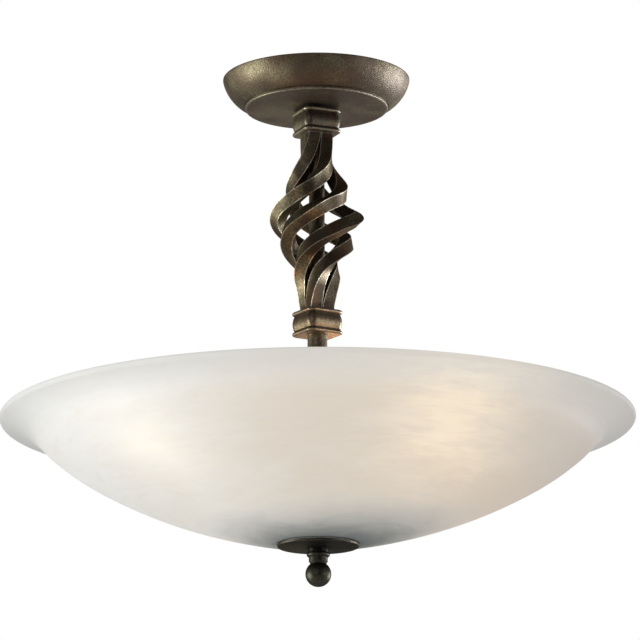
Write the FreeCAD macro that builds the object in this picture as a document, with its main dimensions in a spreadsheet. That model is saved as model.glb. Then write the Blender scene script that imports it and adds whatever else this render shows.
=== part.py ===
import FreeCAD, Part
import Sketcher
import math
import os
import re

# Semi flush ceiling light: a round canopy, a cage of four twisted square bars between two
# beaded square collars, and a wide glass bowl that hides three lamps and hangs from a
# centre rod by a cap and a ball finial.
#
# Frame: +Z up, z = 0 is the ceiling, the origin is on the light's axis. Millimetres.

# Driving sizes. Lengths are in millimetres and turns in degrees. "radius" is always to an
# outer surface unless the name says bore or hole.
SIZES = {
    # fits shared by every joint of the same kind
    "running_fit": 0.05,
    "loose_fit": 0.3,
    "facet_gap": 0.15,
    # threaded pipe that carries the whole light
    "pipe_radius": 4.9,
    "pipe_bore": 3.4,
    "nut_flats": 14.0,
    "nut_thickness": 3.2,
    # mounting bar across the ceiling box, and its screws
    "bar_length": 104.0,
    "bar_width": 19.0,
    "bar_thickness": 2.0,
    "bar_corner": 3.0,
    "screw_spacing": 88.9,
    "slot_run": 9.5,
    "slot_clearance": 0.25,
    "screw_radius": 2.08,
    "screw_neck_radius": 2.25,
    "screw_reach": 14.0,
    "screw_head_radius": 4.1,
    "screw_head_height": 2.6,
    "ground_place": 20.0,
    "ground_radius": 2.4,
    "ground_head_radius": 4.6,
    "ground_head_height": 2.8,
    # canopy
    "canopy_radius": 76.2,
    "canopy_height": 24.5,
    "canopy_sheet": 1.0,
    "canopy_lip": 0.8,
    "canopy_round": 30.6,
    "canopy_ledge": 1.3,
    "canopy_disc_radius": 58.2,
    "canopy_step": 2.7,
    "canopy_edge": 0.7,
    "washer_radius": 10.0,
    "washer_thickness": 2.0,
    # beaded square collars above and below the cage
    "collar_width": 32.6,
    "collar_height": 20.0,
    "collar_corner": 6.0,
    "collar_moulding": 3.0,
    "collar_core_inset": 2.5,
    "bead_height": 3.3,
    "bead_relief": 1.5,
    "groove_height": 1.0,
    "band_bulge": 1.3,
    "upper_collar_turn": 24.2,
    "lower_collar_turn": 32.1,
    "nipple_engagement": 12.0,
    # cage of twisted bars and the tube inside it
    "cage_height": 148.0,
    "cage_bar_side": 10.0,
    "cage_end_radius": 7.5,
    "cage_belly_radius": 31.2,
    "cage_turn": 356.3,
    "cage_start": 24.4,
    "core_radius": 6.35,
    "core_wall": 1.1,
    "core_seat": 4.0,
    # stem, centre rod and lamp cluster
    "stem_radius": 7.95,
    "stem_wall": 1.2,
    "stem_seat": 6.0,
    "stem_length": 75.5,
    "rod_engagement": 14.0,
    "cluster_flats": 50.0,
    "cluster_height": 28.0,
    "cluster_wall": 3.5,
    "cluster_top_wall": 2.5,
    "cover_thickness": 1.5,
    "first_lamp_turn": 200.0,
    "arm_inside": 5.0,
    "arm_engagement": 8.0,
    "flange_radius": 8.0,
    "flange_thickness": 3.0,
    "socket_radius": 18.0,
    "socket_back_radius": 12.0,
    "socket_back": 12.0,
    "socket_depth": 30.0,
    "socket_shoulder": 6.0,
    "shell_radius": 14.3,
    "shell_wall": 0.6,
    "shell_length": 28.0,
    "contact_radius": 5.0,
    "contact_thickness": 1.0,
    "contact_stud_radius": 2.5,
    "contact_stud": 1.5,
    # lamps
    "base_radius": 13.1,
    "base_tip_radius": 3.0,
    "base_cone": 4.0,
    "base_length": 27.0,
    "bulb_radius": 30.0,
    "bulb_neck_radius": 13.0,
    "bulb_neck": 12.0,
    "bulb_length": 82.0,
    "bulb_wall": 1.0,
    "bulb_blend": 26.0,
    "bulb_taper": 50.0,
    # glass bowl
    "bowl_clear": 61.0,
    "bowl_glass": 5.0,
    "bowl_seat_radius": 36.0,
    "bowl_seat_slope": 9.5,
    "bowl_waist_radius": 223.6,
    "bowl_waist_height": 82.0,
    "bowl_flare_height": 7.0,
    "bowl_flare_out": 8.0,
    "bowl_lip_radius": 254.0,
    "bowl_lip_height": 14.4,
    "bowl_hole": 6.4,
    # gaskets, stop washer, cap and finial
    "gasket_radius": 30.0,
    "gasket_thickness": 1.0,
    "stop_radius": 20.0,
    "stop_thickness": 1.5,
    "cap_radius": 32.6,
    "cap_thickness": 3.3,
    "cap_edge": 1.4,
    "cap_rim": 0.8,
    "finial_engagement": 13.0,
    "finial_shoulder_radius": 8.1,
    "finial_shoulder": 2.9,
    "finial_ring": 3.8,
    "finial_ring_curve": 2.0,
    "finial_neck_radius": 7.55,
    "finial_neck": 3.5,
    "finial_waist_radius": 6.3,
    "finial_waist": 1.9,
    "finial_ball_radius": 10.3,
    "finial_flat_radius": 2.8,
}

# Places worked out from the sizes. Levels are heights, so those under the ceiling are
# negative. "out" is a distance from the axis along a lamp.
PLACES = {
    "bar_underside": "-bar_thickness",
    "washer_top": "-canopy_height",
    "collar_top": "washer_top - washer_thickness",
    "cage_top": "collar_top - collar_height",
    "cage_bottom": "cage_top - cage_height",
    "stem_top": "cage_bottom - collar_height",
    "cluster_top": "stem_top - stem_length",
    "lamp_level": "cluster_top - cluster_height / 2",
    "cluster_bottom": "cluster_top - cluster_height",
    "cover_bottom": "cluster_bottom - cover_thickness",
    "bowl_floor": "cluster_bottom - bowl_clear",
    "bowl_seat": "bowl_floor - bowl_glass",
    "cap_top": "bowl_seat - gasket_thickness",
    "cap_bottom": "cap_top - cap_thickness",
    "pipe_hole": "pipe_radius + running_fit",
    "pipe_pass": "pipe_radius + loose_fit",
    "cluster_out": "cluster_flats / 2",
    "flange_out": "cluster_out + flange_thickness",
    "socket_floor": "flange_out + socket_back",
    "socket_mouth": "socket_floor + socket_depth",
    "shell_bore": "shell_radius - shell_wall",
    "stud_out": "socket_floor + contact_thickness + contact_stud",
    "base_tip": "stud_out + loose_fit",
    "bulb_out": "base_tip + base_length",
    "bulb_centre": "bulb_out + bulb_length - bulb_radius",
}

LAMPS = 3
BARS = 4
AXES = {"XY": "XY_Plane", "XZ": "XZ_Plane", "YZ": "YZ_Plane"}

doc = FreeCAD.newDocument("SemiFlushLight")
sheet = doc.addObject("Spreadsheet::Sheet", "Sizes")
for row, (alias, number) in enumerate(SIZES.items(), start=1):
    sheet.set(f"A{row}", alias)
    sheet.set(f"B{row}", str(number))
    sheet.setAlias(f"B{row}", alias)
doc.recompute()

parts = []


def formula(text):
    """The text with each named size as a cell of the sheet and each place worked out."""
    def swap(match):
        word = match.group()
        if word in PLACES:
            return "(" + formula(PLACES[word]) + ")"
        return "Sizes." + word if word in SIZES else word
    return re.sub(r"[a-z][a-z_]*", swap, str(text))


def value(text):
    """The number that a formula gives with the sizes as they are in the sheet."""
    result = sheet.evalExpression(formula(text))
    return float(getattr(result, "Value", result))


def bind(item, name, text):
    """Set a property of a document object by a formula."""
    item.setExpression(name, formula(text))


def keep(item, label, level="0", turn="0"):
    """Name a finished sub-part, and place it at a height and a turn about the axis."""
    item.Label = label
    item.Placement = FreeCAD.Placement(
        FreeCAD.Vector(0, 0, value(level)),
        FreeCAD.Rotation(FreeCAD.Vector(0, 0, 1), value(turn)))
    bind(item, "Placement.Base.z", level)
    bind(item, "Placement.Rotation.Angle", turn)
    parts.append(item)
    return item


# ---------------------------------------------------------------- sketch helpers

def new_body(name):
    return doc.addObject("PartDesign::Body", name)


def new_sketch(body, name, plane="XZ_Plane"):
    """An empty sketch on one of the body's own origin planes."""
    sketch = body.newObject("Sketcher::SketchObject", name)
    origin = [f for f in body.Origin.OriginFeatures if f.Role == plane][0]
    sketch.AttachmentSupport = [(origin, "")]
    sketch.MapMode = "FlatFace"
    return sketch


def dimension(sketch, spec, text):
    """Add a dimension between the given ends and bind it to a formula."""
    index = sketch.addConstraint(Sketcher.Constraint(*spec, value(text)))
    bind(sketch, f"Constraints[{index}]", text)


def pin(sketch, edge, end, across, up):
    """Hold an end of an edge (3 is a centre) at two formulas measured from the origin."""
    for kind, axis, text in (("DistanceX", -2, across), ("DistanceY", -1, up)):
        if str(text) == "0":
            sketch.addConstraint(Sketcher.Constraint("PointOnObject", edge, end, axis))
        elif value(text) < 0:
            dimension(sketch, (kind, edge, end, -1, 1), f"-({text})")
        else:
            dimension(sketch, (kind, -1, 1, edge, end), text)


def outline(sketch, corners):
    """Closed outline through corners (across, up), each given as formulas.

    A corner (across, up, radius, side) is reached by an arc of that radius, which bulges to
    the "left" or "right" of the way it runs.
    """
    points = [FreeCAD.Vector(value(c[0]), value(c[1]), 0) for c in corners]
    runs = []
    for i, start in enumerate(points):
        corner, stop = corners[(i + 1) % len(corners)], points[(i + 1) % len(corners)]
        if len(corner) == 2:
            edge = sketch.addGeometry(Part.LineSegment(start, stop), False)
            runs.append((edge, 1, 2, None))
            continue
        radius, left = corner[2], corner[3] == "left"
        chord = stop - start
        rise = math.sqrt(value(radius) ** 2 - (chord.Length / 2) ** 2)
        across = FreeCAD.Vector(-chord.y, chord.x, 0).normalize()
        centre = (start + stop) / 2 - across * (rise if left else -rise)
        first, last = (stop, start) if left else (start, stop)
        turns = [math.atan2(p.y - centre.y, p.x - centre.x) for p in (first, last)]
        whole = Part.Circle(centre, FreeCAD.Vector(0, 0, 1), value(radius))
        edge = sketch.addGeometry(Part.ArcOfCircle(whole, *turns), False)
        runs.append((edge, 2, 1, radius) if left else (edge, 1, 2, radius))
    for i, (edge, first, last, radius) in enumerate(runs):
        after = runs[(i + 1) % len(runs)]
        sketch.addConstraint(Sketcher.Constraint("Coincident", edge, last, after[0], after[1]))
        pin(sketch, edge, first, *corners[i][:2])
        if radius:
            dimension(sketch, ("Radius", edge), radius)


def circle(sketch, across, up, radius):
    """A circle of a radius about a centre."""
    centre = FreeCAD.Vector(value(across), value(up), 0)
    whole = Part.Circle(centre, FreeCAD.Vector(0, 0, 1), value(radius))
    edge = sketch.addGeometry(whole, False)
    pin(sketch, edge, 3, across, up)
    dimension(sketch, ("Radius", edge), radius)


def slot(sketch, near, far, radius):
    """A slot along X with round ends whose centres lie at near and far."""
    low, high, size = value(near), value(far), value(radius)
    up, half = FreeCAD.Vector(0, 0, 1), math.pi / 2
    ends = [Part.ArcOfCircle(Part.Circle(FreeCAD.Vector(at, 0, 0), up, size), a, a + 2 * half)
            for at, a in ((low, half), (high, -half))]
    bottom = Part.LineSegment(FreeCAD.Vector(low, -size, 0), FreeCAD.Vector(high, -size, 0))
    top = Part.LineSegment(FreeCAD.Vector(high, size, 0), FreeCAD.Vector(low, size, 0))
    loop = [sketch.addGeometry(g, False) for g in (ends[0], bottom, ends[1], top)]
    for i, edge in enumerate(loop):
        after = loop[(i + 1) % 4]
        sketch.addConstraint(Sketcher.Constraint("Tangent", edge, 2, after, 1))
    sketch.addConstraint(Sketcher.Constraint("Equal", loop[0], loop[2]))
    pin(sketch, loop[0], 3, near, "0")
    pin(sketch, loop[2], 3, far, "0")
    dimension(sketch, ("Radius", loop[0]), radius)


def rounded_box(sketch, half_x, half_y, corner):
    """A rectangle about the origin with round corners."""
    x, y, r = (f"({size})" for size in (half_x, half_y, corner))
    turn = (r, "right")
    outline(sketch, [
        (f"-({x} - {r})", f"-({y})", *turn), (f"{x} - {r}", f"-({y})"),
        (x, f"-({y} - {r})", *turn), (x, f"{y} - {r}"),
        (f"{x} - {r}", y, *turn), (f"-({x} - {r})", y),
        (f"-({x})", f"{y} - {r}", *turn), (f"-({x})", f"-({y} - {r})")])


# ---------------------------------------------------------------- feature helpers

def pad(body, sketch, length):
    """Pad a sketch in the XY plane downwards."""
    feature = body.newObject("PartDesign::Pad", sketch.Name + "_pad")
    feature.Profile = sketch
    feature.Reversed = True
    bind(feature, "Length", length)
    return feature


def revolve(body, sketch, kind="Revolution", axis="V_Axis"):
    """Turn a sketch (or cut it as a Groove) about its own vertical or horizontal axis."""
    feature = body.newObject("PartDesign::" + kind, sketch.Name + "_turned")
    feature.Profile = sketch
    feature.ReferenceAxis = (sketch, [axis])
    feature.Angle = 360.0
    return feature


def turned(name, corners, axis="V_Axis"):
    """A body turned from one closed outline, about Z, or about X with H_Axis."""
    body = new_body(name)
    sketch = new_sketch(body, name + "_outline")
    outline(sketch, corners)
    revolve(body, sketch, axis=axis)
    return body


def bore(body, name, corners):
    """Cut an outline that lies against the axis out of the body."""
    sketch = new_sketch(body, name)
    outline(sketch, corners)
    revolve(body, sketch, kind="Groove")


def ring(label, outer, inner, height, level):
    """A tube or washer that reaches down from its level."""
    body = turned(label, [(inner, "0"), (outer, "0"), (outer, f"-({height})"),
                          (inner, f"-({height})")])
    return keep(body, label, level)


def hexagon(flats):
    """Corners of a hexagon with two of its flats square to X."""
    half, edge = f"{flats} / 2", f"{flats} / sqrt(3)"
    return [(half, f"-{edge} / 2"), (half, f"{edge} / 2"), ("0", edge),
            (f"-{half}", f"{edge} / 2"), (f"-{half}", f"-{edge} / 2"), ("0", f"-{edge}")]


def nut(label, level):
    """A hex nut on the threaded pipe, reaching down from its level."""
    body = new_body(label)
    sketch = new_sketch(body, label + "_outline", "XY_Plane")
    outline(sketch, hexagon("nut_flats"))
    circle(sketch, "0", "0", "pipe_hole")
    pad(body, sketch, "nut_thickness")
    return keep(body, label, level)


# ---------------------------------------------------------------- under the ceiling

def mounting_bar():
    """Flat bar with a slot at each end for the box screws and a hole for the pipe."""
    body = new_body("mounting_bar")
    sketch = new_sketch(body, "bar_outline", "XY_Plane")
    rounded_box(sketch, "bar_length / 2", "bar_width / 2", "bar_corner")
    circle(sketch, "0", "0", "pipe_hole")
    circle(sketch, "ground_place", "0", "ground_radius + running_fit")
    far, round_end = "screw_spacing / 2", "screw_neck_radius + slot_clearance"
    slot(sketch, f"{far} - slot_run", far, round_end)
    slot(sketch, f"-({far})", f"-({far} - slot_run)", round_end)
    pad(body, sketch, "bar_thickness")
    keep(body, "mounting_bar")


def screw(label, place, shank, head_radius, head_height):
    """A screw whose head bears on the bar's underside and whose shank points up.

    The shank is given from its end down: each outer radius and the height it ends at.
    """
    steps = [("0", shank[0][1])]
    for (radius, reach), (_, low) in zip(shank, shank[1:] + [(head_radius, "0")]):
        steps += [(radius, reach), (radius, low)]
    body = turned(label, steps + [
        (head_radius, "0"), (head_radius, f"-{head_height} / 2"),
        (f"{head_radius} - {head_height} / 2", f"-{head_height}", f"{head_height} / 2", "left"),
        ("0", f"-{head_height}")])
    keep(body, label, "bar_underside")
    body.Placement.Base.x = value(place)
    bind(body, "Placement.Base.x", place)


def canopy():
    """Spun sheet dish: rounded wall, narrow ledge, short step and a flat disc."""
    wall, ledge = "canopy_radius", "canopy_disc_radius + canopy_ledge"
    top, low, floor = "-canopy_lip", "-(canopy_height - canopy_step)", "-canopy_height"
    edge, sheet_ = "canopy_edge", "canopy_sheet"
    body = turned("canopy", [
        (wall, "0"), (wall, top), (ledge, low, "canopy_round", "left"),
        ("canopy_disc_radius", low), ("canopy_disc_radius", f"{floor} + {edge}"),
        (f"canopy_disc_radius - {edge}", floor, edge, "left"), ("pipe_pass", floor),
        ("pipe_pass", f"{floor} + {sheet_}"),
        (f"canopy_disc_radius - {sheet_}", f"{floor} + {sheet_}"),
        (f"canopy_disc_radius - {sheet_}", f"{low} + {sheet_}"),
        (ledge, f"{low} + {sheet_}"),
        (f"{wall} - {sheet_}", top, f"canopy_round - {sheet_}", "right"),
        (f"{wall} - {sheet_}", "0")])
    keep(body, "canopy")


# ---------------------------------------------------------------- collars and cage

def collar(label, level, turn, top_hole, top_depth, low_steps):
    """Square collar: a bead, a groove and a bulging band, then the same again mirrored.

    The moulded face is one profile carried round a square with round corners. The hole
    through it is stepped: top_hole down to top_depth, the wire way, then low_steps, each
    a radius and its depth from the underside.
    """
    body = new_body(label)
    face = "collar_width / 2"
    root = f"{face} - bead_relief"
    inside = f"{face} - collar_moulding"
    band = "(collar_height - 2 * bead_height - 2 * groove_height)"
    bead_curve = "(bead_height ^ 2 / 4 + bead_relief ^ 2) / (2 * bead_relief)"
    band_curve = f"({band} ^ 2 / 4 + band_bulge ^ 2) / (2 * band_bulge)"

    path = new_sketch(body, label + "_path", "XY_Plane")
    rounded_box(path, face, face, "collar_corner")
    profile = new_sketch(body, label + "_profile")
    low = "collar_height"
    outline(profile, [
        (inside, "0"), (root, "0"), (root, "-bead_height", bead_curve, "left"),
        (root, "-(bead_height + groove_height)"),
        (root, f"-({low} - bead_height - groove_height)", band_curve, "left"),
        (root, f"-({low} - bead_height)"), (root, f"-{low}", bead_curve, "left"),
        (inside, f"-{low}")])
    pipe = body.newObject("PartDesign::AdditivePipe", label + "_moulding")
    pipe.Profile = profile
    pipe.Spine = (path, [f"Edge{i + 1}" for i in range(8)])
    core = new_sketch(body, label + "_core", "XY_Plane")
    inner = f"{face} - collar_core_inset"
    rounded_box(core, inner, inner, "collar_corner - collar_core_inset")
    pad(body, core, "collar_height")
    steps = [("0", "0"), (top_hole, "0"), (top_hole, f"-{top_depth}"),
             ("pipe_bore", f"-{top_depth}")]
    hole = "pipe_bore"
    for radius, depth in low_steps:
        steps += [(hole, f"-({low} - {depth})"), (radius, f"-({low} - {depth})")]
        hole = radius
    bore(body, label + "_bore", steps + [(hole, f"-{low}"), ("0", f"-{low}")])
    keep(body, label, level, turn)


# Down the cage: share of its height, share of its swelling, share of its turn.
CAGE_STATIONS = (
    (0.00, 0.00, 0.000), (0.10, 0.07, 0.034), (0.20, 0.23, 0.094), (0.30, 0.45, 0.197),
    (0.40, 0.78, 0.330), (0.48, 1.00, 0.444), (0.56, 0.87, 0.569), (0.64, 0.62, 0.692),
    (0.72, 0.375, 0.807), (0.80, 0.205, 0.903), (0.90, 0.07, 0.967), (1.00, 0.00, 1.000))
CAGE_SECTIONS = 36


def smooth(stations, column, at):
    """A column of the stations at a share of the height, on a curve with no overshoot."""
    xs = [s[0] for s in stations]
    ys = [s[column] for s in stations]
    steps = [(ys[i + 1] - ys[i]) / (xs[i + 1] - xs[i]) for i in range(len(xs) - 1)]
    slopes = [0.0] + [0.0 if a * b <= 0 else 2 * a * b / (a + b)
                      for a, b in zip(steps, steps[1:])] + [0.0]
    i = max(k for k in range(len(steps)) if at >= xs[k] or k == 0)
    width = xs[i + 1] - xs[i]
    u = min(1.0, max(0.0, (at - xs[i]) / width))
    return (ys[i] * (1 + 2 * u) * (1 - u) ** 2 + ys[i + 1] * u * u * (3 - 2 * u)
            + width * u * (1 - u) * (slopes[i] * (1 - u) - slopes[i + 1] * u))


def cage_point(share):
    """Centre of a bar at a share of the cage's height, and the cage's outward normal there."""
    def at(s):
        swell = value("cage_belly_radius - cage_end_radius")
        radius = value("cage_end_radius") + swell * smooth(CAGE_STATIONS, 1, s)
        turn = math.radians(-value("cage_turn") * smooth(CAGE_STATIONS, 2, s))
        return radius, turn
    radius, turn = at(share)
    height = value("cage_height")
    flare = (at(share + 0.01)[0] - at(share - 0.01)[0]) / (0.02 * height)
    centre = FreeCAD.Vector(radius * math.cos(turn), radius * math.sin(turn), -share * height)
    normal = FreeCAD.Vector(math.cos(turn), math.sin(turn), flare).normalize()
    return centre, normal


def twisted_bar():
    """One square bar, laid corner outwards along the cage and lofted through its sections."""
    corner = value("cage_bar_side") / math.sqrt(2)
    wires = []
    for i in range(-1, CAGE_SECTIONS + 2):
        share = i / CAGE_SECTIONS
        centre, normal = cage_point(share)
        along = (cage_point(share + 0.004)[0] - cage_point(share - 0.004)[0]).normalize()
        out = (normal - along * normal.dot(along)).normalize()
        side = along.cross(out)
        wires.append(Part.makePolygon([centre + d * corner for d in
                                       (out, side, -out, -side, out)]))
    return Part.makeLoft(wires, True, False, False)


def cage():
    """Four twisted bars, cut flat where they meet the collars and hollowed for the tube."""
    height = value("cage_height")
    reach = value("cage_belly_radius + cage_bar_side")
    down = FreeCAD.Vector(0, 0, -1)
    between = Part.makeCylinder(reach, height, FreeCAD.Vector(), down)
    tube = Part.makeCylinder(value("core_radius + facet_gap"), height, FreeCAD.Vector(), down)
    bar = twisted_bar().common(between).cut(tube)
    for i in range(BARS):
        item = doc.addObject("Part::Feature", f"cage_bar_{i + 1}")
        item.Shape = max(bar.Solids, key=lambda solid: solid.Volume)
        keep(item, f"cage_bar_{i + 1}", "cage_top", f"-90 - cage_start + {i} * 360 / {BARS}")


# ---------------------------------------------------------------- stem and lamp cluster

def cluster_body():
    """Hexagonal box, open below, with a pipe hole on top and a tapped hole per lamp."""
    body = new_body("cluster_body")
    sketch = new_sketch(body, "cluster_outline", "XY_Plane")
    outline(sketch, hexagon("cluster_flats"))
    pad(body, sketch, "cluster_height")
    room = "cluster_flats / 2 - cluster_wall"
    bore(body, "cluster_room", [
        ("0", "0"), ("pipe_hole", "0"), ("pipe_hole", "-cluster_top_wall"),
        (room, "-cluster_top_wall"), (room, "-cluster_height"), ("0", "-cluster_height")])
    side = new_sketch(body, "cluster_side", "YZ_Plane")
    circle(side, "0", "-cluster_height / 2", "pipe_hole")
    doc.recompute()
    hole = body.newObject("PartDesign::Pocket", "cluster_hole")
    hole.Profile = side
    hole.Reversed = True
    bind(hole, "Length", "cluster_flats")
    around = body.newObject("PartDesign::PolarPattern", "cluster_holes")
    around.Originals = [hole]
    around.Axis = (body.Origin.OriginFeatures[2], [""])
    around.Angle = 360.0
    around.Occurrences = LAMPS
    body.Tip = around
    keep(body, "cluster_body", "cluster_top", "first_lamp_turn")


def along_lamp(label, number, corners):
    """A body turned about a lamp's own axis, at the lamp's place round the cluster."""
    name = f"{label}_{number + 1}"
    body = turned(name, corners, axis="H_Axis")
    return keep(body, name, "lamp_level", f"first_lamp_turn + {number} * 360 / {LAMPS}")


def socket_arm(number):
    """Short threaded tube with a flange that bears on a flat of the cluster."""
    end, flange = "flange_out + arm_engagement", "flange_radius"
    along_lamp("socket_arm", number, [
        ("cluster_out - arm_inside", "pipe_bore"), ("cluster_out - arm_inside", "pipe_radius"),
        ("cluster_out", "pipe_radius"), ("cluster_out", flange), ("flange_out", flange),
        ("flange_out", "pipe_radius"), (end, "pipe_radius"), (end, "pipe_bore")])


def socket(number):
    """Lamp socket: a moulded cup, tapped at the back for its arm."""
    seat = "flange_out + arm_engagement"
    back, shoulder = "socket_back_radius", "flange_out + socket_shoulder"
    inside = "shell_radius + loose_fit"
    along_lamp("socket", number, [
        ("flange_out", "pipe_hole"), ("flange_out", back),
        (shoulder, "socket_radius", "socket_radius", "left"),
        ("socket_mouth", "socket_radius"), ("socket_mouth", inside), ("socket_floor", inside),
        ("socket_floor", "pipe_bore - running_fit"), (seat, "pipe_bore - running_fit"),
        (seat, "pipe_hole")])


def screw_shell(number):
    """Brass sleeve that takes the lamp's base."""
    along_lamp("screw_shell", number, [
        ("socket_floor", "shell_bore"), ("socket_floor", "shell_radius"),
        ("socket_floor + shell_length", "shell_radius"),
        ("socket_floor + shell_length", "shell_bore")])


def centre_contact(number):
    """Brass contact on the socket's floor, with a stud for the lamp's tip."""
    disc = "socket_floor + contact_thickness"
    along_lamp("centre_contact", number, [
        ("socket_floor", "0"), ("socket_floor", "contact_radius"), (disc, "contact_radius"),
        (disc, "contact_stud_radius"), ("stud_out", "contact_stud_radius"), ("stud_out", "0")])


def bulb_base(number):
    """Screw base of a lamp: tip, insulating cone and shell."""
    along_lamp("bulb_base", number, [
        ("base_tip", "0"), ("base_tip", "base_tip_radius"),
        ("base_tip + base_cone", "base_radius"), ("bulb_out", "base_radius"),
        ("bulb_out", "0")])


def bulb_glass(number):
    """Hollow glass of a lamp: neck, flare and round end."""
    neck, middle, ball = "bulb_out + bulb_neck", "bulb_centre", "bulb_radius"
    wall, room = "bulb_wall", "(bulb_radius - bulb_wall)"
    back, up = "sin(bulb_taper)", "cos(bulb_taper)"
    along_lamp("bulb_glass", number, [
        ("bulb_out", f"bulb_neck_radius - {wall}"), ("bulb_out", "bulb_neck_radius"),
        (neck, "bulb_neck_radius"),
        (f"{middle} - {ball} * {back}", f"{ball} * {up}", "bulb_blend", "right"),
        (middle, ball, ball, "left"), (f"{middle} + {ball}", "0", ball, "left"),
        (f"{middle} + {room}", "0"), (middle, room, room, "right"),
        (f"{middle} - {room} * {back}", f"{room} * {up}", room, "right"),
        (neck, f"bulb_neck_radius - {wall}", f"bulb_blend + {wall}", "left")])


# ---------------------------------------------------------------- bowl, cap and finial

# Up the bowl's outside from its seat to its waist: shares of the run and of the rise.
BOWL_STATIONS = ((0.384, 0.215), (0.772, 0.603), (0.947, 0.880), (1.0, 1.0))
# The lip's round end reaches further out the flatter it leaves, so its place settles in turns.
LIP_PASSES = 6


def tangent_arcs(points, slope):
    """Arcs through points, each tangent to the one before; the first leaves at a slope."""
    heading = FreeCAD.Vector(math.cos(slope), 0, math.sin(slope))
    arcs = []
    for start, stop in zip(points, points[1:]):
        chord = stop - start
        normal = FreeCAD.Vector(-heading.z, 0, heading.x)
        radius = chord.dot(chord) / (2 * chord.dot(normal))
        arcs.append((start, stop, start + normal * radius, radius))
        chord.normalize()
        heading = chord * (2 * heading.dot(chord)) - heading
    return arcs, heading


def arc_edge(start, stop, centre, radius, offset=0.0):
    """One arc of a chain, moved inwards by an offset, towards the left of its way."""
    def moved(point):
        out = (point - centre).normalize()
        return centre + out * (abs(radius) - math.copysign(offset, radius))
    middle = moved((start + stop) / 2)
    return Part.Arc(moved(start), middle, moved(stop)).toShape()


def glass_bowl():
    """Thick glass turned from a chain of tangent arcs: seat, bowl, waist and flared lip."""
    seat, waist = value("bowl_seat_radius"), value("bowl_waist_radius")
    rise, glass = value("bowl_waist_height"), value("bowl_glass")
    flare = rise + value("bowl_flare_height")
    top = rise + value("bowl_lip_height")
    points = [FreeCAD.Vector(seat, 0, 0)]
    points += [FreeCAD.Vector(seat + (waist - seat) * run, 0, rise * up)
               for run, up in BOWL_STATIONS]
    points.append(FreeCAD.Vector(waist + value("bowl_flare_out"), 0, flare))
    lip, tip = value("bowl_lip_radius"), glass / 2
    for _ in range(LIP_PASSES):
        arcs, heading = tangent_arcs(points + [FreeCAD.Vector(lip, 0, top)],
                                     math.radians(value("bowl_seat_slope")))
        lip = value("bowl_lip_radius") - tip * (1 - heading.z)
    outside = [arc_edge(*a) for a in arcs]
    inside = [arc_edge(*a, offset=glass) for a in arcs]
    low, high = outside[-1].Vertexes[-1].Point, inside[-1].Vertexes[-1].Point
    end = (low + high) / 2 + heading * tip
    hole = value("bowl_hole")
    inner = inside[0].Vertexes[0].Point
    floor = FreeCAD.Vector(inner.x, 0, glass)
    loop = [FreeCAD.Vector(hole, 0, glass), FreeCAD.Vector(hole, 0, 0), points[0]]
    edges = [Part.makeLine(*pair) for pair in zip(loop, loop[1:])]
    edges += outside + [Part.Arc(low, end, high).toShape()] + inside[::-1]
    if inner.distanceToPoint(floor) > 1e-6:
        edges.append(Part.makeLine(inner, floor))
    edges.append(Part.makeLine(floor, loop[0]))
    face = Part.Face(Part.Wire(Part.__sortEdges__(edges)))
    item = doc.addObject("Part::Feature", "glass_bowl")
    item.Shape = face.revolve(FreeCAD.Vector(), FreeCAD.Vector(0, 0, 1), 360)
    keep(item, "glass_bowl", "bowl_seat")


def bowl_cap():
    """Shallow cap under the bowl, with a rounded rim."""
    rim, low = "cap_radius", "-cap_thickness"
    body = turned("bowl_cap", [
        ("pipe_pass", "0"), (rim, "0"), (rim, "-cap_rim"),
        (f"{rim} - cap_edge", "-(cap_rim + cap_edge)", "cap_edge", "left"),
        ("finial_shoulder_radius", low), ("pipe_pass", low)])
    keep(body, "bowl_cap", "cap_top")


def finial():
    """Ball finial, tapped for the end of the centre rod."""
    ring_top = "-finial_shoulder"
    ring_low = f"{ring_top} - finial_ring"
    neck_low = f"{ring_low} - finial_neck"
    waist = f"{neck_low} - finial_waist"
    ball, narrow, flat = "finial_ball_radius", "finial_waist_radius", "finial_flat_radius"
    centre = f"{waist} - sqrt({ball} ^ 2 - {narrow} ^ 2)"
    bottom = f"{centre} - sqrt({ball} ^ 2 - {flat} ^ 2)"
    bed = "-(finial_engagement + loose_fit)"
    body = turned("finial", [
        ("pipe_hole", "0"), ("finial_shoulder_radius", "0"),
        ("finial_shoulder_radius", ring_top),
        ("finial_neck_radius", ring_low, "finial_ring_curve", "left"),
        ("finial_neck_radius", neck_low), (narrow, waist),
        (flat, bottom, ball, "left"), ("0", bottom), ("0", bed), ("pipe_hole", bed)])
    keep(body, "finial", "cap_bottom")


# ---------------------------------------------------------------- the whole light

mounting_bar()
for number, side in enumerate(("", "-")):
    screw(f"box_screw_{number + 1}", f"{side}screw_spacing / 2",
          [("screw_radius", "screw_reach + bar_thickness"), ("screw_neck_radius", "bar_thickness")],
          "screw_head_radius", "screw_head_height")
screw("ground_screw", "ground_place", [("ground_radius", "bar_thickness - loose_fit")],
      "ground_head_radius", "ground_head_height")
ring("threaded_nipple", "pipe_radius", "pipe_bore",
     "canopy_height + washer_thickness + nipple_engagement - loose_fit", "-loose_fit")
nut("nipple_nut", "bar_underside")
canopy()
ring("canopy_washer", "washer_radius", "pipe_pass", "washer_thickness", "washer_top")
collar("upper_collar", "collar_top", "upper_collar_turn", "pipe_hole", "nipple_engagement",
       [("core_radius + running_fit", "core_seat")])
cage()
ring("core_tube", "core_radius", "core_radius - core_wall", "cage_height + 2 * core_seat",
     "cage_top + core_seat")
collar("lower_collar", "cage_bottom", "lower_collar_turn", "core_radius + running_fit",
       "core_seat", [("pipe_hole", "rod_engagement"),
                     ("stem_radius + running_fit", "stem_seat")])
ring("stem_tube", "stem_radius", "stem_radius - stem_wall", "stem_seat + stem_length",
     "stem_top + stem_seat")
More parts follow.
